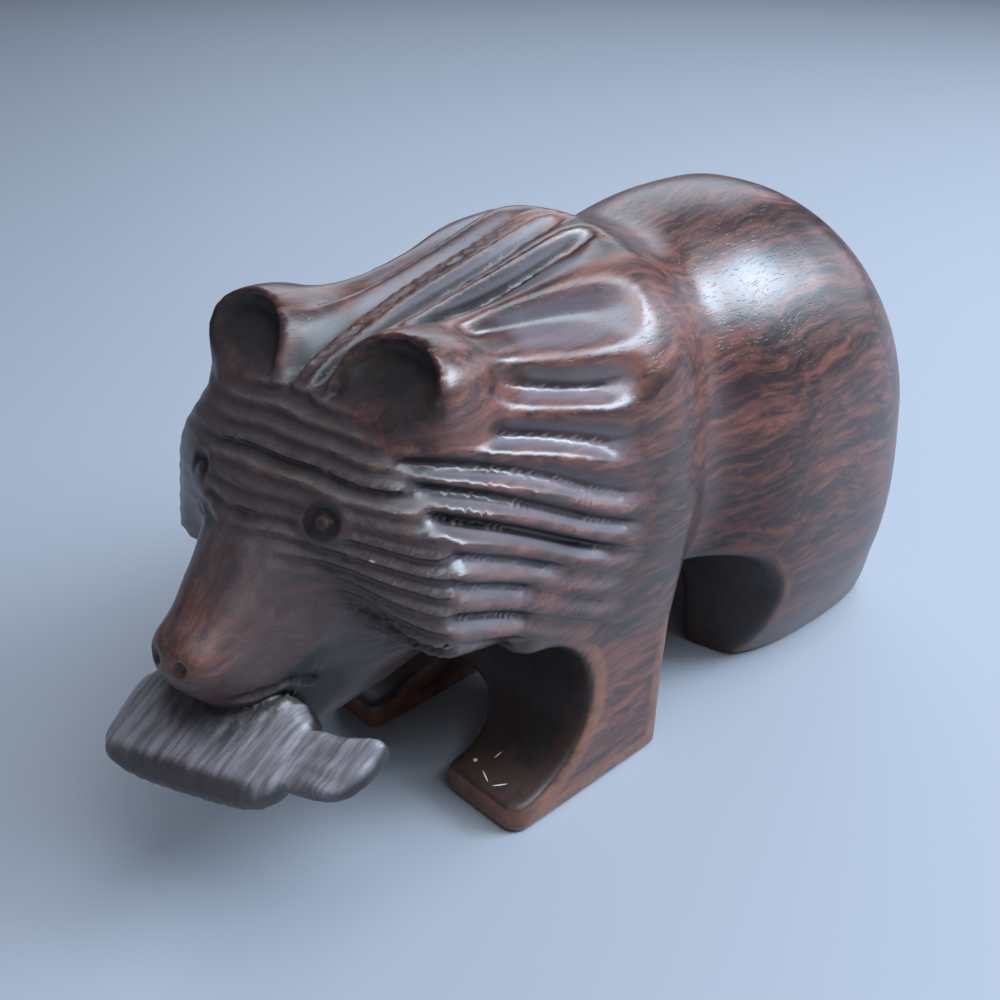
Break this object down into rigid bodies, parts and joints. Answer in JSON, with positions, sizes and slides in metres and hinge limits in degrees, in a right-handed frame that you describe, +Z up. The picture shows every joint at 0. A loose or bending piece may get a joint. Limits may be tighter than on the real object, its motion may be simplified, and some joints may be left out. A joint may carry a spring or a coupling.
{
  "type": "carved wooden bear figurine",
  "caption": "Standing bear carved from dark ironwood, head lowered with a fish across its mouth, grooved mane, smooth rump and short square legs.",
  "frame": {"origin": "on the floor, under the middle of the figure's bounding box", "axes": "+Z up from the soles, -Y towards the bear's nose, +X towards the bear's left side"},
  "size_m": [0.061, 0.1607, 0.0881],
  "materials": {
    "ironwood": "hand-rubbed satin, dark red-brown with near-black grain streaks, orange-brown worn edges, dust in the cuts"
  },
  "bodies": {
    "root": {"carved_bear": "ironwood"}
  },
  "joints": []
}
